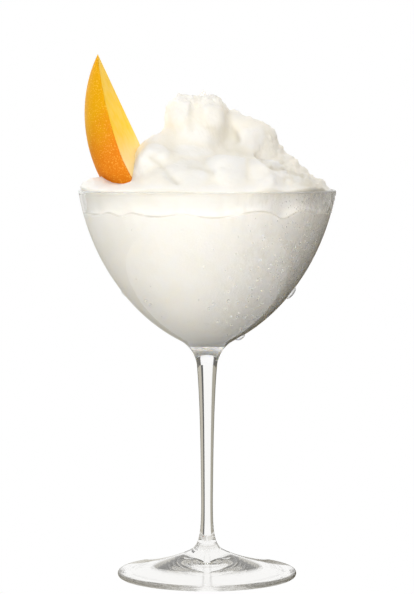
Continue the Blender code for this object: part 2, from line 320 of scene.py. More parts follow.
slushSettings = {
    "wallOverlap": 0.3,  # how far it reaches into the wall, so that no air gap shows
    "contactDepth": 9.7,  # the wavy line, below the rim
    # above it the drink stands off the wall: at once by pullAway, then more, and less again near the rim
    "pullAway": 0.45,
    "pullOver": 0.25,
    "shrinkLeft": 2.6,
    "shrinkRight": 4.4,
    "shrinkOver": 3.5,
    "wobble": 0.4,
    "closing": 0.62,
    "closingDepth": 9.0,
    "lipRadius": 56.0,
    "lipHeight": -0.2,
    "tentTop": (-5.0, 2.0, 50.0),  # of the rings that are drawn down onto the lumps
    "drawSteps": 60,
    "lumpBlend": 2.0,
    "creaseDepth": 0.35,
    "warps": [(13.0, 1.2, 11), (5.5, 0.6, 21)],  # size, reach and seed
    # size and depth of each kind of bump
    "swell": (13.0, 0.45),
    "puff": (8.0, 1.1),
    "crag": (3.4, 0.72),
    "grain": (1.5, 0.2),
    # where the right, the top, the back and the left turn ragged: x, y or z by number, start and end
    "ragged": [(0, 18.0, 38.0), (2, 34.0, 41.0), (1, 4.0, 18.0), (0, -41.0, -55.0)],
    "icyRight": (22.0, 42.0),
    "lipFade": 5.0,  # how far above the lip the bumps are in full
    "coarseGrid": (34, 76),
    "heapRows": 190,
    "rowsAbove": 22,
    "rowsBelow": 40,
    "segments": 384,
    "cream": (0.96, 0.955, 0.94),
    "creamPatch": (0.945, 0.935, 0.905),
    # painted shade: the heap's slush is a darker copy of the bowl's, to offset the stronger light on the heap
    "heapShadedSlush": (0.81, 0.806, 0.797),
    "heapShadedPatch": (0.795, 0.787, 0.768),
    # painted shade: the colour laid into hollows and where lumps meet
    "creaseShadeColour": (0.80, 0.765, 0.68),
    "shadeColour": (0.56, 0.525, 0.43),
    "meltColour": (0.58, 0.56, 0.51),
    "meltWidth": 0.26,
    # painted shade under and round the lip: how dark, how much more at the far left and right, and how wide
    "rimShade": 0.36,
    "moreLeft": 0.6,
    "moreRight": 0.9,
    "farLeft": (-0.7, -1.0),  # cosines of the angle round the axis
    "farRight": (0.62, 0.98),
    "rimShadeWidth": 0.9,
    "lipShadeWidth": 0.45,
    # painted shade: a wide, faint band on the bowl's right side
    "rightShade": 0.20,
    "rightShadeWidth": 5.0,
    "shadeFades": (10.0, 2.0),  # how far back the shades of the front reach
    "scatterColour": (1.0, 0.93, 0.8),
    "scatterDepth": 0.003,
    "patchScale": 90.0,
    "grainScale": 900.0,
    "bumpHeight": 0.0004,
    "hollowShadeShare": 0.35,  # of the crease's colour in hollows, and where lumps meet
    "creaseShadeShare": 0.55,
    "roughness": (0.4, 0.65),
    # waves in the line where the drink leaves the wall: degrees from the front, rise, and width in degrees
    "contactWaves": [
        (-62, -0.6, 14), (-51, 0.8, 6), (-43, -1.0, 4), (-36, 0.9, 5), (-22, -0.9, 12), (-11, 0.7, 7),
        (3, -1.3, 9), (24, 1.4, 9), (37, -2.2, 5), (50, 1.5, 7), (90, -0.8, 16), (120, 1.1, 12),
        (150, -1.0, 14), (180, 0.8, 15), (210, -1.1, 13), (240, 0.9, 14), (268, -0.7, 12),
    ],
    # each lump of the heap: its centre, and its reach along x, y and z
    "lumps": {
        "base": ((-1.5, 0, -1.6), (57.4, 57.6, 6.2)),
        "leftToe": ((-49, -6, 0.5), (6.5, 12, 5.4)),
        "leftBody": ((-10, -2, 2), (24, 26, 20.5)),
        "rightBody": ((14, 7, 2), (24.5, 22, 19)),
        "backBody": ((-2, 22, -1), (36, 24, 19)),
        "peakLeft": ((-11.0, 1, 31.4), (8.0, 11, 11.2)),
        "peakRight": ((0.6, 1.5, 30), (10.0, 11, 10.8)),
        "peakFront": ((-6, 2, 14), (15, 16, 24)),
        "leftShoulder": ((-19.4, -1, 13.4), (11, 14, 11.4)),
        "rightPeak": ((18.6, 4, 20.0), (9.0, 12, 10.6)),
        "rightKnob": ((26.0, 4, 22.6), (4.3, 6, 4.8)),
        "rightStep": ((29.0, 3, 9.6), (7.0, 9, 7.4)),
        "rightToe": ((38.0, 1, 3.4), (7.0, 9, 6.8)),
        "rimToe": ((45.6, -2, -0.6), (6, 8, 4.6)),
        "frontLeft": ((-8, -26, -3), (23, 27, 15)),
        "frontMiddle": ((9, -26, -1.5), (14.4, 25, 18.2)),
        "frontRight": ((22.5, -24, -1.5), (13.6, 24, 15.6)),
        "frontRightToe": ((37, -18, -3), (14, 22, 9.6)),
        "mangoLobe": ((-22.2, -16, 10.5), (9.4, 11, 9.5)),
        "mangoToe": ((-18.6, -28, -3), (10.8, 22, 11.0)),
        "peakKnob": ((4.2, 1, 35.2), (4.0, 5, 3.4)),
        "peakStep": ((8.8, 2, 29.4), (3.4, 5, 3.8)),
        "gapKnob": ((12.4, 3, 28.6), (3.0, 5, 2.8)),
        "rightTop": ((17.4, 2, 27.4), (5.2, 6, 4.0)),
        "rightEdge": ((27.4, 3, 18.0), (3.0, 5, 3.4)),
        "stepKnob": ((31.4, 2, 12.0), (3.4, 5, 3.6)),
        "stepFoot": ((36.0, 1, 8.2), (3.0, 5, 3.8)),
        "toeKnob": ((41.2, 0, 5.0), (2.8, 4, 3.4)),
        "rimKnob": ((48.6, -2, -0.6), (2.6, 5, 2.4)),
        "backLobe": ((10, 24, 9), (13, 12, 13)),
        "backLeftLobe": ((-15, 24, 8), (12, 12, 12)),
        "backLeftToe": ((-32, 26, 1), (10, 10, 10)),
        "backRightToe": ((31, 22, 2), (10, 11, 11)),
        "backToe": ((-1, 39, 0), (12, 9, 9)),
    },
    # grooves across the heap's front: points (x, height), depth and width
    "folds": [
        ([(-25.0, 15.5), (-20.5, 12.0), (-16.6, 8.1), (-12.6, 5.2)], 1.3, 1.9),
        ([(-8.0, 10.9), (-3.0, 10.6), (2.4, 8.8)], 0.8, 1.1),
        ([(-6.3, 38.5), (-6.2, 33.0), (-7.4, 27.5)], 0.5, 1.7),
        ([(10.3, 34.0), (10.8, 28.7), (13.2, 22.5)], 1.3, 1.8),
        ([(22.5, 15.6), (25.0, 13.0), (27.6, 10.9), (35.0, 8.9), (42.0, 6.8)], 1.7, 1.0),
        ([(16.5, 14.4), (22.0, 13.8), (24.4, 11.4), (27.0, 9.3), (35.0, 7.2), (42.0, 5.0)], -0.6, 1.1),
    ],
    # painted shade in the folds, behind the crest and on slopes turned from the light: points (x, height),
    # share and width
    "shades": [
        ([(21.5, 15.4), (25.3, 13.2), (28.0, 10.9)], 0.30, 0.9),
        ([(28.0, 10.9), (35.2, 8.6), (42.0, 6.6)], 0.55, 0.9),
        ([(9.4, 17.6), (12.6, 18.0), (16.4, 16.0), (20.0, 15.2)], 0.16, 1.0),
        ([(6.7, 27.5), (11.2, 22.5), (14.6, 19.0)], 0.14, 4.0),
        ([(10.3, 34.0), (10.8, 28.7), (13.6, 21.8)], 0.32, 1.1),
        ([(-25.0, 15.0), (-21.0, 12.2), (-16.6, 8.1), (-12.8, 5.2)], 0.34, 0.9),
        ([(-8.0, 10.9), (-3.0, 10.4), (2.4, 8.9)], 0.26, 0.8),
        ([(-7.0, 38.5), (-7.6, 32.0), (-6.7, 27.5)], 0.18, 1.3),
        ([(0.3, 27.9), (3.2, 27.4)], 0.20, 0.9),
        ([(1.5, 37.0), (6.8, 33.4)], 0.12, 2.6),
        ([(-17.0, 22.5), (-13.6, 13.5), (-3.5, 12.0)], 0.13, 2.6),
        ([(36.0, 10.5), (44.0, 6.0)], 0.06, 3.4),
        ([(6.7, 27.5), (10.0, 24.0)], 0.10, 2.4),
        ([(19.0, 11.0), (24.5, 7.0)], 0.16, 3.4),
        ([(38.0, 4.4), (44.0, 2.2)], 0.24, 2.4),
        ([(44.0, 3.6), (48.0, 2.6), (53.5, 1.2)], 0.50, 2.6),
        ([(33.0, 19.0), (31.0, 24.5), (33.5, 13.5)], 0.08, 2.0),
    ],
    # small pulled-up tips on the heap: x, y, how far up, and width
    "wisps": [
        (-12.8, 0.5, 1.5, 1.1), (-11.2, 1.6, 0.7, 1.3), (-2.4, 0.5, 2.0, 0.9), (-1.2, 0.2, 2.4, 0.9),
        (3.2, 1.0, 0.8, 1.5), (-6.5, 2.0, 0.7, 1.6), (12.4, 3.0, 1.0, 1.3), (14.2, 4.0, 0.9, 1.0),
        (19.6, 5.0, 0.9, 1.3), (22.4, 4.4, 0.6, 0.8), (27.6, 5.0, 0.9, 1.0), (40.4, 0.5, 0.9, 1.1),
        (33.4, 2.0, 0.9, 1.1), (36.6, 1.0, 0.8, 0.9), (-24.5, 2.0, 0.8, 1.4), (-27.4, 1.0, 0.5, 0.9),
        (46.2, -1.0, 1.0, 1.1), (43.6, -1.5, 0.7, 0.8), (-51.5, -4.0, 0.8, 1.2), (-47.0, -6.0, 0.6, 1.1),
    ],
}


# turns the noise's lattice off the heap's own axes
latticeTurn = np.array([[0.66, -0.54, 0.52], [0.74, 0.38, -0.55], [0.10, 0.75, 0.65]])


def latticeNoise(points, seed):
    # Random values at whole-number points, blended between them by a fifth-power fade: from -1 to 1.
    points = points @ latticeTurn
    corner = np.floor(points).astype(np.int64)
    part = points - corner
    fade = part * part * part * (part * (part * 6 - 15) + 10)
    total = np.zeros(len(points))
    for step in np.ndindex(2, 2, 2):
        at = corner + np.array(step)
        mixed = (at[:, 0] * 73856093) ^ (at[:, 1] * 19349663) ^ (at[:, 2] * 83492791) ^ (seed * 2654435)
        mixed = (mixed ^ (mixed >> 13)) * 1274126177 & 0x7FFFFFFF
        value = (mixed ^ (mixed >> 16)) % 65536 / 32767.5 - 1
        total += value * np.prod(np.where(step, fade, 1 - fade), axis=1)
    return total


def billow(points, size, offset, seed):
    # Rounded bumps with sharp valleys: 1.6 |noise| - 0.5.
    return np.abs(latticeNoise(points / size + offset, seed)) * 1.6 - 0.5


def warped(points, form=slushSettings):
    # Points shifted by two sizes of noise, so that no lump stays a plain ellipsoid; not shifted at the lip.
    fade = shareBetween(points[:, 2:], 0, 6)
    for size, reach, seed in form["warps"]:
        shift = np.stack([latticeNoise(points / size + 4.4, seed + way) for way in range(3)], axis=1)
        points = points + reach * shift * fade
    return points


def lumpDistance(points, form=slushSettings):
    # Distance from each ellipsoid, about size * (size - 1) / slope, joined by a soft minimum. Also the way
    # out, and how evenly two lumps meet there, from 0 to 1.
    centres, radii = np.array(list(form["lumps"].values()), float).transpose(1, 0, 2)
    scaled = (warped(points)[:, None] - centres) / radii
    out = scaled / radii
    size = np.linalg.norm(scaled, axis=2)
    slope = np.maximum(np.linalg.norm(out, axis=2), 1e-9)
    distance = size * (size - 1) / slope
    nearest = distance.min(axis=1, keepdims=True)
    weight = np.exp((nearest - distance) / form["lumpBlend"])
    total = weight.sum(axis=1, keepdims=True)
    away = unit(((weight / total / slope)[:, :, None] * out).sum(axis=1))
    meeting = np.clip(np.log(total[:, 0]) / math.log(2), 0, 1)
    return (nearest - form["lumpBlend"] * np.log(total))[:, 0], away, meeting


def ontoLumps(rings):
    # Each point moved along the way out by its distance from the lumps, at most 4 mm.
    points = rings.reshape(-1, 3)
    distance, away = lumpDistance(points)[:2]
    return (points - away * np.clip(distance, -4, 4)[:, None]).reshape(rings.shape)


def coarseHeap(form=slushSettings):
    # A tent of rings from the top down to the lip, drawn down onto the lumps while it evens itself out.
    count, segments = form["coarseGrid"]
    down = (np.arange(count) + 1.0)[:, None] / count
    heap = roundAxis(form["lipRadius"] * down**0.9, turns(segments), form["lipHeight"])
    heap = heap + (1 - down)[:, :, None] * form["tentTop"]
    lip = heap[-1].copy()
    for step in range(form["drawSteps"]):
        top = heap[0].mean(axis=0) + (0, 0, 0.02)
        above = np.concatenate([np.broadcast_to(top, (1, segments, 3)), heap[:-1]])
        below = np.concatenate([heap[1:], lip[None]])
        beside = (np.roll(heap, 1, axis=1) + np.roll(heap, -1, axis=1)) / 2
        heap = ontoLumps(heap * 0.5 + (above + below) * 0.125 + beside * 0.25)
        heap[-1] = lip
    return heap


def smoothSample(rows, at, closed):
    # Catmull-Rom curves through the rows, read at fractional row numbers.
    whole = np.floor(at).astype(int)
    part = (at - whole).reshape((-1,) + (1,) * (rows.ndim - 1))
    count = len(rows)

    def row(step):
        index = whole + step
        return rows[index % count if closed else np.clip(index, 0, count - 1)]

    a, b, c, d = (row(step) for step in (-1, 0, 1, 2))
    return b + 0.5 * part * (c - a + part * (2 * a - 5 * b + 4 * c - d + part * (3 * (b - c) + d - a)))


def fineHeap(form=slushSettings):
    # The coarse heap read along smooth curves at many more places, and drawn onto the lumps again.
    heap = coarseHeap()
    top = np.broadcast_to(heap[0].mean(axis=0), (1,) + heap.shape[1:])
    rows = np.concatenate([top, heap])
    at = (np.arange(form["heapRows"]) + 1.0) / form["heapRows"] * (len(rows) - 1)
    rows = smoothSample(rows, at, False)
    at = np.arange(form["segments"]) / form["segments"] * form["coarseGrid"][1]
    fine = smoothSample(rows.transpose(1, 0, 2), at, True).transpose(1, 0, 2)
    lip = fine[-1].copy()
    for step in range(4):
        fine = ontoLumps(fine)
        fine[-1] = lip
    return fine


def strokes(lines, x, z):
    # For each line, its strength times a bell of the distance to the nearest of its pieces.
    total = 0 * x
    for spots, strength, width in lines:
        nearest = np.full(x.shape, 1e9)
        for (x0, z0), (x1, z1) in zip(spots, spots[1:]):
            wide, high = x1 - x0, z1 - z0
            share = np.clip(((x - x0) * wide + (z - z0) * high) / (wide**2 + high**2), 0, 1)
            nearest = np.minimum(nearest, np.hypot(x - x0 - share * wide, z - z0 - share * high))
        total += strength * bell(nearest, width)
    return total


def roughened(heap, form=slushSettings):
    # Moved along the way out by swells, puffs, crags and grains, with creases drawn in where lumps meet. The
    # front is smooth, and the top, the right and the back are ragged. It all fades out towards the lip.
    points = heap.reshape(-1, 3)
    away, meeting = lumpDistance(points)[1:]
    x, y, z = points.T
    sides = [shareBetween(points[:, way], start, end) for way, start, end in form["ragged"]]
    ragged = 0.2 + 0.8 * np.max(sides, axis=0)
    icy = shareBetween(x, *form["icyRight"])
    offLip = shareBetween(z, 0, form["lipFade"])
    shares = {"puff": ragged, "crag": ragged**2 + 0.5 * icy, "grain": 0.35 + ragged + 1.2 * icy}
    depth = form["swell"][1] * latticeNoise(points / form["swell"][0] + 2.2, 5)
    for kind, offset, seed in (("puff", 7.3, 1), ("crag", 3.1, 2), ("grain", 5.7, 3)):
        size, reach = form[kind]
        depth += reach * billow(points, size, offset, seed) * shares[kind]
    depth -= form["creaseDepth"] * meeting**2 + strokes(form["folds"], x, z) * np.clip(-away[:, 1] * 2, 0, 1)
    depth *= offLip
    moved = points + away * depth[:, None]
    for tipX, tipY, rise, width in form["wisps"]:
        near = bell(np.hypot(x - tipX, y - tipY), width)
        moved[:, 2] += rise * near * np.clip(away[:, 2] * 2, 0, 1)
    # painted shade: the strokes on the front, and a band round the lip
    shade = strokes(form["shades"], x, z) * shareBetween(y, *form["shadeFades"])
    shade += form["rimShade"] * bell(np.hypot(x, y) - form["lipRadius"], form["lipShadeWidth"]) * (z < 1.5)
    return moved.reshape(heap.shape), depth, meeting * offLip, shade


def contactHeight(azimuth):
    # The mean line plus a bell for each of the waves.
    fromFront = np.degrees(azimuth) + 90
    height = np.full(azimuth.shape, -slushSettings["contactDepth"])
    for place, rise, width in slushSettings["contactWaves"]:
        apart = (fromFront - place + 180) % 360 - 180
        height = height + rise * bell(apart, width)
    return height


def innerWall():
    # From the middle of the floor up to the rim: the points, how far along each is, and the wall's way there.
    wall = np.concatenate([[(0.0, glassSettings["bowlFloor"])], insideProfile()])
    length = np.concatenate([[0], np.cumsum(np.linalg.norm(np.diff(wall, axis=0), axis=1))])
    return wall, length, unit(np.gradient(wall, length, axis=0))


def rowPlaces(contact, top, form=slushSettings):
    # Rows from the top down, one of them on the wavy line, and closer together near it.
    up = (1 - np.arange(form["rowsAbove"])[:, None] / form["rowsAbove"]) ** 1.4
    near = np.array([[0.8], [0.45], [0.2], [0.0], [-0.2], [-0.45], [-0.9]])
    down = 1 - (np.arange(form["rowsBelow"])[:, None] + 1) / (form["rowsBelow"] + 1)
    first, last = contact + near[0], contact + near[-1]
    return np.concatenate([first + (top - first) * up, contact + near[1:-1], last * down])


def standOff(azimuth, above, level, form=slushSettings):
    # At height t above the wavy line, pullAway (1 - exp(-t / pullOver)) plus the rest of the shrinkage times
    # 1 - exp(-t / shrinkOver), and a wobble. It closes again towards the rim.
    rightward = (0.5 + 0.5 * np.cos(azimuth)) ** 3
    shrink = form["shrinkLeft"] + (form["shrinkRight"] - form["shrinkLeft"]) * rightward
    direction = roundAxis(1, azimuth, level / 40) * 8
    wobble = form["wobble"] * latticeNoise(direction.reshape(-1, 3), 4).reshape(level.shape)
    atOnce = form["pullAway"] * (1 - np.exp(-above / form["pullOver"]))
    later = (shrink - form["pullAway"]) * (1 - np.exp(-above / form["shrinkOver"]))
    closing = 1 - form["closing"] * shareBetween(level, -form["closingDepth"], 0)
    return (atOnce + later + wobble * (above > 0)) * closing


def wallShade(azimuth, level, form=slushSettings):
    # Painted shade: a narrow band under the rim, and a wide, faint one at the right.
    rightward = shareBetween(np.cos(azimuth), *form["farRight"])
    leftward = shareBetween(np.cos(azimuth), *form["farLeft"])
    narrow = form["rimShade"] * (1 + form["moreLeft"] * leftward + form["moreRight"] * rightward)
    wide = form["rightShade"] * rightward**2
    return narrow * bell(level + 1, form["rimShadeWidth"]) + wide * bell(level + 1, form["rightShadeWidth"])


def bowlRings(form=slushSettings):
    # Rows along the inner wall, moved a little into it below the wavy line and away from it above the line.
    wall, length, way = innerWall()
    azimuth = turns(form["segments"])[None, :]
    contact = np.interp(contactHeight(azimuth) + glassSettings["height"], wall[:, 1], length)
    top = np.interp(glassSettings["height"] - 1.0, wall[:, 1], length)
    place = rowPlaces(contact, top)
    height = place - contact
    above = np.clip(height, 0, None)
    level = np.interp(place, length, wall[:, 1]) - glassSettings["height"]
    overlap = form["wallOverlap"] * shareBetween(above, form["pullOver"], 0)
    out = np.where(height > 0, -standOff(azimuth, above, level), 0) + overlap
    radius = np.interp(place, length, wall[:, 0]) + out * np.interp(place, length, way[:, 1])
    high = np.interp(place, length, wall[:, 1]) - out * np.interp(place, length, way[:, 0])
    line = bell(height - 0.1, form["meltWidth"])
    return roundAxis(radius, azimuth, high), line, wallShade(azimuth, level)


def slushMaterial(form=slushSettings):
    material, tree = newTree("slushIce")
    patches = noise(tree, objectPlace(tree), form["patchScale"], 3.0)
    grains = noise(tree, objectPlace(tree), form["grainScale"], 4.0, 0.6)
    hollowShade = ramp(tree, readValues(tree, "relief"), -1.3, 0.2, 1.0, 0.0)
    hollowShade = combine(tree, "MULTIPLY", hollowShade, form["hollowShadeShare"])
    crease = ramp(tree, readValues(tree, "crease"), 0.35, 1.0)
    crease = combine(tree, "MULTIPLY", crease, form["creaseShadeShare"])
    shares = ramp(tree, patches, 0.35, 0.65)
    inBowl = mixColours(tree, shares, form["creamPatch"], form["cream"])
    # painted shade: the heap gets the darker copy of the same slush
    inHeap = mixColours(tree, shares, form["heapShadedPatch"], form["heapShadedSlush"])
    rim = glassSettings["height"]
    colour = mixColours(tree, placeRamp(tree, "Z", (rim - 2, rim + 3)), inBowl, inHeap)
    # painted shade in the hollows and creases, then along the shade strokes and under the rim
    colour = mixColours(tree, combine(tree, "MAXIMUM", hollowShade, crease), colour, form["creaseShadeColour"])
    colour = mixColours(tree, readValues(tree, "shade"), colour, form["shadeColour"])
    melt = combine(tree, "MULTIPLY", readValues(tree, "meltLine"), ramp(tree, patches, 0.3, 0.6, 0.25, 1.0))
    colour = mixColours(tree, melt, colour, form["meltColour"])
    bump = addNode(tree, "Bump", {"Strength": 0.3, "Distance": form["bumpHeight"], "Height": grains})
    finishSurface(tree, "BsdfPrincipled", {
        "Base Color": colour,
        "Roughness": ramp(tree, grains, 0.3, 0.7, *form["roughness"]),
        "IOR": 1.33,
        "Subsurface Weight": 0.6,
        "Subsurface Radius": form["scatterColour"],
        "Subsurface Scale": form["scatterDepth"],
        "Normal": bump.outputs[0],
    })
    return material


def makeSlush(form=slushSettings):
    # One skin: the heap's rings from its top to the lip, and then the bowl's down to its floor.
    heap, depth, meeting, shade = roughened(fineHeap())
    bowl, line, bowlShade = bowlRings()
    rings = np.concatenate([heap + (0, 0, glassSettings["height"]), bowl])
    bottom = (0, 0, glassSettings["bowlFloor"] - form["wallOverlap"])
    mesh = meshFromRings("slushHeap", rings, rings[0].mean(axis=0), bottom)
    inHeap = np.zeros(depth.size)
    inBowl = np.zeros(line.size)
    addValues(mesh, "relief", np.concatenate([depth, inBowl]), depth[0])
    addValues(mesh, "crease", np.concatenate([meeting, inBowl]))
    addValues(mesh, "shade", np.concatenate([shade, bowlShade.ravel()]))
    addValues(mesh, "meltLine", np.concatenate([inHeap, line.ravel()]))
    addPiece("slushHeap", mesh, slushMaterial(), "frozen_drink")


# the mango slice

mangoSettings = {
    "length": 96.0,
    "depth": 25.0,
    "angle": 50.0,  # between the two cuts
    "bulge": 0.045,  # how much lower the skin's edges are than its middle
    "tip": (-49.3, 9.0, 61.0),
    "lean": 25.4,
    "facing": 41.0,  # how far the skin turns to the front
    "twist": 9.0,  # and further towards the tip
    "stations": 150,
    "segments": 120,
    "golden": (0.735, 0.355, 0.0),
    "blush": (0.70, 0.20, 0.006),
    "speck": (0.95, 0.60, 0.09),
    "dullSpeck": (0.62, 0.33, 0.05),
    "flesh": (0.97, 0.60, 0.012),
    "paleFlesh": (0.97, 0.79, 0.44),
    "blushEnds": (0.46, 0.72),  # where down the slice golden turns to blush, and where the flesh grows pale
    "paleEnds": (0.36, 0.56),
    "patchScale": 120.0,
    "speckScale": 1700.0,
    "speckShare": 0.5,
    "dullShare": 0.6,
    "fibreScale": 500.0,
    "bumpHeight": 0.0003,
    "roughness": (0.42, 0.3),  # of the skin and of the flesh
}


def slicePoint(along, left, forward, form=mangoSettings):
    # A point at a share of the slice's length, and so far left of its inner edge and in front of it.
    lean = math.radians(form["lean"])
    travel = along * form["length"]
    x = form["tip"][0] + travel * math.sin(lean) - left * math.cos(lean)
    z = form["tip"][2] - travel * math.cos(lean) - left * math.sin(lean)
    return np.stack([x, form["tip"][1] - forward, z + glassSettings["height"]], axis=-1)


def mangoMaterial(form=mangoSettings):
    material, tree = newTree("mangoFlesh")
    place = objectPlace(tree)
    under = readValues(tree, "underSkin")
    down = readValues(tree, "downSlice")
    across = readValues(tree, "acrossSkin")
    patches = noise(tree, place, form["patchScale"], 4.0)
    specks = noise(tree, place, form["speckScale"], 2.0)
    fibres = noise(tree, objectPlace(tree, (1.0, 1.0, 0.3)), form["fibreScale"], 2.0)
    blend = down
    for part, share in ((across, 0.03), (patches, 0.22), (specks, 0.25)):
        blend = combine(tree, "ADD", blend, combine(tree, "MULTIPLY", part, share))
    skin = mixColours(tree, ramp(tree, blend, *form["blushEnds"]), form["golden"], form["blush"])
    skin = mixColours(tree, ramp(tree, specks, 0.56, 0.66, 0.0, form["speckShare"]), skin, form["speck"])
    dull = combine(tree, "MULTIPLY", ramp(tree, specks, 0.42, 0.34), ramp(tree, across, -0.2, -0.9))
    skin = mixColours(tree, combine(tree, "MULTIPLY", dull, form["dullShare"]), skin, form["dullSpeck"])
    pale = ramp(tree, down, *form["paleEnds"], 0.0, 0.9)
    pale = combine(tree, "ADD", pale, ramp(tree, fibres, 0.3, 0.7, 0.0, 0.12))
    flesh = mixColours(tree, pale, form["flesh"], form["paleFlesh"])
    colour = mixColours(tree, ramp(tree, under, 0.05, 0.5), skin, flesh)
    bump = addNode(tree, "Bump", {"Strength": 0.18, "Distance": form["bumpHeight"], "Height": specks})
    finishSurface(tree, "BsdfPrincipled", {
        "Base Color": colour,
        "Roughness": ramp(tree, under, 0.05, 0.5, *form["roughness"]),
        "Specular IOR Level": 0.06,
        "Normal": bump.outputs[0],
    })
    return material


def makeMango(form=mangoSettings):
    # Sections of a fruit's wedge: the skin is an arc, and two flat cuts run in from it to the inner edge.
    # Each point is averaged with its neighbours on the section, which rounds the corners.
    down = ((np.arange(form["stations"]) + 1.0) / (form["stations"] + 1))[:, None]
    turn = (np.arange(form["segments"]) * 2.0 / form["segments"] - 1)[None, :]
    along = (1 - np.cos(down * np.pi)) / 2
    chordRadius = (form["length"] ** 2 / 4 + form["depth"] ** 2) / (2 * form["depth"])
    depth = np.sqrt(chordRadius**2 - ((along - 0.5) * form["length"]) ** 2) - (chordRadius - form["depth"])
    half = math.radians(form["angle"] / 2)
    onSkin = np.clip(turn * 2, -1, 1)
    toEdge = np.clip(np.abs(turn) * 2 - 1, 0, 1)
    reach = np.where(np.abs(turn) <= 0.5, 1 - form["bulge"] * onSkin**2, (1 - form["bulge"]) * (1 - toEdge))
    deep = depth * reach * np.cos(onSkin * half)
    wide = depth * reach * np.sin(onSkin * half)
    deep, wide = (sum(np.roll(way, step, axis=1) for step in (-1, 0, 1)) / 3 for way in (deep, wide))
    facing = np.radians(form["facing"] + form["twist"] * shareBetween(along, 0.5, 0))
    left = deep * np.cos(facing) - wide * np.sin(facing)
    forward = deep * np.sin(facing) + wide * np.cos(facing)
    rings = slicePoint(along, left, forward)
    mesh = meshFromRings("mangoSlice", rings, slicePoint(0.0, 0.0, 0.0), slicePoint(1.0, 0.0, 0.0))
    addValues(mesh, "underSkin", depth * toEdge * (1 - form["bulge"]))
    addValues(mesh, "downSlice", along + 0 * turn, bottom=1)
    addValues(mesh, "acrossSkin", onSkin + 0 * along)
    addPiece("mangoSlice", mesh, mangoMaterial(), "mango_slice")


# the drops on the cold bowl

dewSettings = {
    "seed": 7,
    "spacing": 1.15,  # size of the cells that hold one drop or none
    "lowest": 109.5,
    "highest": 173.5,
    # a cell's chance of a drop: anywhere, and what is added to the right, low on the right and under the rim
    # there, with the azimuths between which it starts, and those where it ends or the heights where it starts
    "anywhere": 0.004,
    "rightward": (0.42, (8, 68), (200, 160)),
    "lowRight": (0.03, (-20, 30), (150, 125)),
    "wetRim": (0.7, (30, 45), (164, 168)),
    "clouds": (0.2, 1.3),  # the chance's share between the clouds, and what they add
    "cloudSize": (9.0, 7.0),  # degrees, height
    "radius": (0.10, 0.27),
    "flatness": 0.15,
    "sag": (1.25, 0.75),  # a long drop's extra length below its middle, and above
    "sunk": 1.2,  # down to the drink behind the wall
    "sunkAbove": 0.12,  # where the drink has left the wall
    "shallowFrom": 162.0,
    "ring": 8,
    "bigRing": 20,
    "rimDropCount": 260,
    "rimDropAzimuths": (92.0, 46.0),  # the rightmost, and how far they spread to the left
    "rimDropDepth": 9.5,
    "rimDropRadius": (0.16, 0.42),
    "rimDropFlatness": 0.6,
    "hangingFlatness": 0.5,
    "clearness": 0.92,
    "haze": (0.93, 0.94, 0.95),
    "mottleScale": 700.0,
    # larger drops: azimuth from the front in degrees, height, radius, and how much longer than wide
    "bigDrops": [
        (17.0, 134.6, 0.75, 1.2), (14.8, 127.0, 0.7, 1.1), (21.4, 126.6, 0.6, 1.3), (4.8, 125.7, 0.55, 1.0),
        (1.2, 123.5, 0.6, 1.2), (-48.5, 126.6, 0.6, 1.2), (-46.5, 124.8, 0.5, 1.0),
        (30.0, 137.0, 0.6, 1.4), (36.0, 129.0, 0.65, 1.2), (41.0, 146.0, 0.55, 1.5),
        (27.0, 119.5, 0.7, 1.1), (10.0, 117.5, 0.6, 1.0), (52.0, 152.0, 0.55, 1.6), (60.0, 139.5, 0.7, 1.3),
    ],
    # and those that hang on the bowl's side and show at its edge
    "hangingDrops": [(89.0, 128.6, 2.7, 1.2), (-88.0, 128.4, 1.0, 1.5), (86.0, 108.6, 2.3, 1.0)],
}


def wallPlaces(height):
    # For each height, the radius of the bowl's outer wall and the slope of its way out.
    wall = bowlOutside()[::-1]
    way = unit(np.gradient(wall, axis=0))
    columns = (wall[:, 0], way[:, 0], way[:, 1])
    radius, rise, outward = (np.interp(height, wall[:, 1], column) for column in columns)
    return radius, outward, -rise


def dropPoints(azimuth, height, radius, stretch, flatness, ringPoints, steps, form=dewSettings):
    # A flattened dome: rings at growing angles from its top, then a base ring sunk in the wall.
    wallRadius, outward, upward = wallPlaces(height)
    angle = np.radians(azimuth) - np.pi / 2
    out = roundAxis(outward, angle, upward)
    side = np.stack([-np.sin(angle), np.cos(angle), 0 * angle], axis=1)
    high = np.cross(out, side)
    foot = roundAxis(wallRadius, angle, height)
    turn = turns(ringPoints)
    lean = np.radians(np.linspace(0, 90, steps + 1)[1:])
    flat = np.concatenate([np.sin(lean), [1.0]])[None, :, None] + 0 * turn
    tall = np.concatenate([np.cos(lean), [0.0]])[None, :, None] + 0 * turn
    sink = np.concatenate([0 * lean, [1.0]])[None, :, None] + 0 * turn
    size = radius[:, None, None]
    sag = 1 + (stretch[:, None, None] - 1) * np.where(np.sin(turn) < 0, *form["sag"])
    sunk = np.where(height > form["shallowFrom"], form["sunkAbove"], form["sunk"])[:, None, None]
    shape = (
        out[:, None, None] * (size * tall * flatness - sunk * sink)[..., None]
        + side[:, None, None] * (size * flat * np.cos(turn))[..., None]
        + high[:, None, None] * (size * flat * np.sin(turn) * sag)[..., None]
    )
    rings = foot[:, None, None] + shape
    tops = foot + out * radius[:, None] * flatness
    bases = foot - out * sunk[:, 0]
    return rings, tops, bases


def dropFaces(count, rings, ringPoints):
    # Triangles of one drop, repeated for every drop with its own start number.
    topFan, bands, bottomFan = ringFaces(rings, ringPoints)
    halves = np.stack([bands[..., [0, 1, 2]], bands[..., [0, 2, 3]]], axis=1).reshape(-1, 3)
    one = np.concatenate([topFan, halves, bottomFan])
    return (np.arange(count)[:, None, None] * (one.max() + 1) + one).reshape(-1, 3)


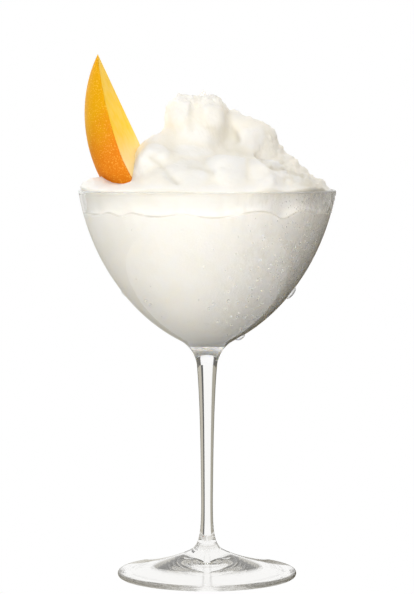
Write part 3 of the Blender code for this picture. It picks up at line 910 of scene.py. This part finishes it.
def joinDrops(parts):
    # All points in one row, and the faces numbered on from one kind of drop to the next.
    points, faces = [], []
    for (rings, tops, bases), ringPoints in parts:
        count, steps = rings.shape[:2]
        start = sum(len(part) for part in points)
        drops = np.concatenate([tops[:, None], rings.reshape(count, -1, 3), bases[:, None]], axis=1)
        points.append(drops.reshape(-1, 3))
        faces.append(dropFaces(count, steps, ringPoints) + start)
    return np.concatenate(points) * mm, np.concatenate(faces)


def mistDrops(form=dewSettings):
    # One place in each cell of a grid over the wall, kept by chance.
    random = np.random.default_rng(form["seed"])
    heights = np.arange(form["lowest"], form["highest"], form["spacing"])
    columns = int(2 * np.pi * glassSettings["rimRadius"] / form["spacing"])
    height, column = np.meshgrid(heights, np.arange(columns), indexing="ij")
    height = (height + random.uniform(0, form["spacing"], height.shape)).ravel()
    azimuth = ((column + random.uniform(0, 1, column.shape)) * 360 / columns - 180).ravel()
    crowding = wallPlaces(height)[0] / glassSettings["rimRadius"]
    more, starts, ends = form["rightward"]
    chance = form["anywhere"] + more * (shareBetween(azimuth, *starts) * shareBetween(azimuth, *ends)) ** 1.5
    for more, azimuths, levels in (form["lowRight"], form["wetRim"]):
        chance = chance + more * (shareBetween(height, *levels) * shareBetween(azimuth, *azimuths))
    wide, high = form["cloudSize"]
    clouds = latticeNoise(np.stack([azimuth / wide, height / high, 0 * height], axis=1), 6) * 0.5 + 0.5
    chance = chance * (form["clouds"][0] + form["clouds"][1] * clouds) * crowding
    keep = random.uniform(0, 1, height.size) < chance
    small, large = form["radius"]
    radius = small + (large - small) * random.uniform(0, 1, height.size) ** 2
    stretch = 1 + random.uniform(0, 0.7, height.size) ** 2
    return azimuth[keep], height[keep], radius[keep], stretch[keep]


def rimDrops(form=dewSettings):
    # Rounder drops just under the right rim, denser to the right and upwards.
    random = np.random.default_rng(form["seed"] + 1)
    count = form["rimDropCount"]
    right, spread = form["rimDropAzimuths"]
    azimuth = right - spread * random.uniform(0, 1, count) ** 1.5
    height = form["highest"] - form["rimDropDepth"] * random.uniform(0, 1, count) ** 1.7
    small, large = form["rimDropRadius"]
    radius = small + (large - small) * random.uniform(0, 1, count) ** 2
    return azimuth, height, radius, 1 + random.uniform(0, 0.6, count)


def dewMaterial(form=dewSettings):
    material, tree = newTree("waterDew")
    mottle = noise(tree, objectPlace(tree), form["mottleScale"], 2.0)
    finishSurface(tree, "BsdfPrincipled", {
        "Base Color": mixColours(tree, ramp(tree, mottle, 0.3, 0.7), form["haze"], (1, 1, 1)),
        "Roughness": ramp(tree, mottle, 0.3, 0.7, 0.0, 0.06),
        "IOR": 1.33,
        "Transmission Weight": form["clearness"],
    })
    return material


def makeDew(form=dewSettings):
    # For each kind of drop: where they are, how far they bulge, the points of a ring and the number of rings.
    kinds = [
        (mistDrops(), "flatness", "ring", 2),
        (rimDrops(), "rimDropFlatness", "ring", 3),
        (np.array(form["bigDrops"], float).T, "flatness", "bigRing", 6),
        (np.array(form["hangingDrops"], float).T, "hangingFlatness", "bigRing", 6),
    ]
    parts = []
    for drops, flatness, ring, steps in kinds:
        parts.append((dropPoints(*drops, form[flatness], form[ring], steps), form[ring]))
    points, faces = joinDrops(parts)
    mesh = bpy.data.meshes.new("bowlDew")
    mesh.from_pydata(points.tolist(), [], faces.tolist())
    mesh.shade_smooth()
    dew = addPiece("bowlDew", mesh, dewMaterial())
    dew.visible_shadow = False
    dew.visible_diffuse = False


# stage, lights and camera

studio = {
    "roomSide": 5.0,
    "cardDistance": 2.0,
    # cards that the glass alone shows, through it or mirrored: degrees clockwise from behind, and up, colour
    "seenThrough": {
        "rightLine": ((16, 26), (-45, 6), (0.07, 0.07, 0.07)),
        "rightBeige": ((26, 58), (-45, 6), (0.52, 0.49, 0.42)),
        "rightFlag": ((58, 135), (-45, 6), (0.10, 0.095, 0.085)),
        "leftBeige": ((-58, -25), (-45, 6), (0.42, 0.40, 0.34)),
        "leftFlag": ((-135, -58), (-45, 6), (0.11, 0.105, 0.09)),
        "frontRightCard": ((135, 180), (-45, 60), (0.48, 0.46, 0.40)),
        "frontLeftCard": ((-180, -135), (-45, 60), (0.48, 0.46, 0.40)),
        "hubRight": ((26, 90), (6, 60), (0.14, 0.135, 0.125)),
        "hubLeft": ((-90, -26), (6, 60), (0.14, 0.135, 0.125)),
        "hubRightSide": ((90, 135), (6, 60), (0.46, 0.44, 0.38)),
        "hubLeftSide": ((-135, -90), (6, 60), (0.46, 0.44, 0.38)),
    },
    "mirrored": {
        "leftTable": ((-90, -3), (-85, 2), (0.50, 0.475, 0.40)),
        "leftTableEdge": ((-103, -90), (-85, 2), (0.66, 0.64, 0.58)),
        "leftTableFade": ((-116, -103), (-85, 2), (0.83, 0.82, 0.79)),
        "rightTable": ((3, 100), (-85, 4), (0.12, 0.10, 0.055)),
        "rightTableEdge": ((100, 114), (-85, 4), (0.40, 0.38, 0.34)),
        "rightTableFade": ((114, 128), (-85, 4), (0.70, 0.69, 0.66)),
    },
    # painted shadow on the table just round the foot, as the foot's edge shows it: degrees, distance, colour
    "footShadowRing": {
        "footShadowDark": ((-155, -108), (0.040, 0.060), (0.14, 0.14, 0.13)),
        "footShadowLeft": ((-173, -155), (0.040, 0.060), (0.34, 0.33, 0.29)),
        "footShadowRight": ((90, 172), (0.040, 0.060), (0.58, 0.56, 0.50)),
    },
    # each lamp's place, what it aims at, its size, power and colour, and a spot's angle in degrees
    "lamps": {
        "frontLamp": ((0.0, -1.15, 0.5), (0, 0, 0.17), 0.7, 8.0, (0.985, 0.985, 1.0)),
        "lowLamp": ((-0.3, -1.2, -0.15), (0, 0, 0.16), 1.0, 8.9, (1.0, 0.93, 0.775)),
        "leftLamp": ((-1.0, -0.7, 0.0), (0, 0, 0.15), 0.7, 3.4, (1.0, 0.99, 0.92)),
        "rightLamp": ((0.9, -0.3, 0.85), (0, 0, 0.17), 1.0, 3.0, (1.0, 0.895, 0.735)),
        "topLamp": ((0.0, 0.0, 1.2), (0, 0, 0.17), 1.2, 6.9, (0.985, 0.985, 0.965)),
        "backLeftLamp": ((-0.8, 0.8, 0.55), (0, 0, 0.19), 1.0, 14.0, (0.985, 0.995, 1.0)),
        "backRightLamp": ((0.8, 0.8, 0.55), (0, 0, 0.19), 1.0, 6.0, (1.0, 0.99, 0.975)),
        "underGlow": ((0.0, 0.5, 0.02), (0.0, 0.02, 0.117), 0.02, 9.0, (1.0, 0.97, 0.88), 7),
    },
    "ambientUp": (0.03, 0.03, 0.03),
    "ambientDown": (0.0, 0.0, 0.0),
    "cameraPlace": (0.0, -1.08204, 0.19912),
    "cameraTilt": 3.83245,
    "cameraLens": 145.764,
}


def stageMesh(name, points, faces, colour, seenBy):
    # Lights itself, but throws no light on the drink and no shadow. Only the named kinds of ray see it.
    mesh = bpy.data.meshes.new(name)
    mesh.from_pydata(points, [], faces)
    material, tree = newTree(name + "Glow")
    finishSurface(tree, "Emission", {"Color": colour, "Strength": 1.0})
    mesh.materials.append(material)
    card = bpy.data.objects.new(name, mesh)
    bpy.context.scene.collection.objects.link(card)
    card.visible_diffuse = False
    card.visible_shadow = False
    for kind in ("camera", "glossy", "transmission"):
        setattr(card, "visible_" + kind, kind in seenBy)


def addLamp(name, place, aim, size, power, colour, angle=None):
    # A square lamp, or a spot where an angle is given, aimed along its own -Z. The glass doesn't show it.
    lamp = bpy.data.lights.new(name, "SPOT" if angle else "AREA")
    lamp.energy = power
    lamp.color = colour
    if angle:
        lamp.spot_size = math.radians(angle)
        lamp.spot_blend = 1.0
        lamp.shadow_soft_size = size
    else:
        lamp.size = size
    holder = bpy.data.objects.new(name, lamp)
    bpy.context.scene.collection.objects.link(holder)
    holder.location = place
    holder.rotation_euler = (Vector(aim) - Vector(place)).to_track_quat("-Z", "Y").to_euler()
    holder.visible_transmission = False
    holder.visible_glossy = False


def patch(name, spots, colour, seenBy):
    # A sheet through a grid of points.
    rows, columns = spots.shape[:2]
    corner = (np.arange(rows - 1)[:, None] * columns + np.arange(columns - 1)).ravel()
    faces = np.stack([corner, corner + 1, corner + columns + 1, corner + columns], axis=1)
    stageMesh(name, spots.reshape(-1, 3).tolist(), faces.tolist(), colour, seenBy)


def cardPatch(name, around, up, colour, seenBy, distance):
    # Part of a sphere: (sin a cos e, cos a cos e, sin e) times the distance.
    a = np.radians(np.linspace(*around, 33))[None, :]
    e = np.radians(np.linspace(*up, 13))[:, None]
    spots = np.stack([np.sin(a) * np.cos(e), np.cos(a) * np.cos(e), np.sin(e) + 0 * a], axis=2)
    patch(name, spots * distance, colour, seenBy)


def ringPatch(name, around, distances, colour, seenBy):
    # Part of a ring on the table: (r sin a, r cos a) for both radii.
    a = np.radians(np.linspace(*around, 33))[None, :]
    r = np.array(distances)[:, None]
    patch(name, np.stack([r * np.sin(a), r * np.cos(a), 0 * r * a - 0.0003], axis=2), colour, seenBy)


def makeStage(form=studio):
    side = form["roomSide"]
    square = ((-side, -side), (side, -side), (side, side), (-side, side))
    stageMesh("paleFloor", [(*spot, -0.0002) for spot in square], [(0, 1, 2, 3)], (1, 1, 1), ["camera"])
    walls = [(*spot, high) for high in (-1, side) for spot in square]
    sides = [(0, 1, 5, 4), (1, 2, 6, 5), (2, 3, 7, 6), (3, 0, 4, 7), (4, 5, 6, 7), (3, 2, 1, 0)]
    stageMesh("paleWalls", walls, sides, (1, 1, 1), ["camera", "glossy", "transmission"])
    for group, seenBy in (("seenThrough", "transmission"), ("mirrored", "glossy")):
        for name, (around, up, colour) in form[group].items():
            cardPatch(name, around, up, colour, [seenBy], form["cardDistance"])
    for name, (around, distances, colour) in form["footShadowRing"].items():
        ringPatch(name, around, distances, colour, ["transmission"])
    print("stage: floor, walls and the cards that the glass shows")


def makeLights(form=studio):
    world = bpy.data.worlds.new("studioLight")
    bpy.context.scene.world = world
    world.use_nodes = True
    tree = world.node_tree
    parts = addNode(tree, "SeparateXYZ", {0: addNode(tree, "TexCoord").outputs["Generated"]})
    up = ramp(tree, parts.outputs["Z"], -0.9, 0.7)
    colour = mixColours(tree, up, form["ambientDown"], form["ambientUp"])
    tree.links.new(colour, tree.nodes["Background"].inputs["Color"])
    for name, values in form["lamps"].items():
        addLamp(name, *values)
    print("lights:", ", ".join(form["lamps"]), "and soft surroundings")


def makeCamera(form=studio):
    lens = bpy.data.cameras.new("camera")
    lens.lens = form["cameraLens"]
    lens.sensor_width = 36
    lens.clip_start = 0.01
    camera = bpy.data.objects.new("camera", lens)
    bpy.context.scene.collection.objects.link(camera)
    camera.location = form["cameraPlace"]
    camera.rotation_euler = (math.radians(90 - form["cameraTilt"]), 0, 0)
    bpy.context.scene.camera = camera
    print("camera: lens", lens.lens, "at", form["cameraPlace"])


def setLook():
    scene = bpy.context.scene
    scene.view_settings.view_transform = "Standard"
    scene.cycles.use_denoising = True
    scene.cycles.max_bounces = 40
    scene.cycles.transmission_bounces = 36
    scene.cycles.glossy_bounces = 36
    scene.cycles.transparent_max_bounces = 12
    scene.cycles.caustics_reflective = False
    scene.cycles.caustics_refractive = False


makeGlass()
makeSlush()
makeMango()
makeDew()
makeStage()
makeLights()
makeCamera()
setLook()
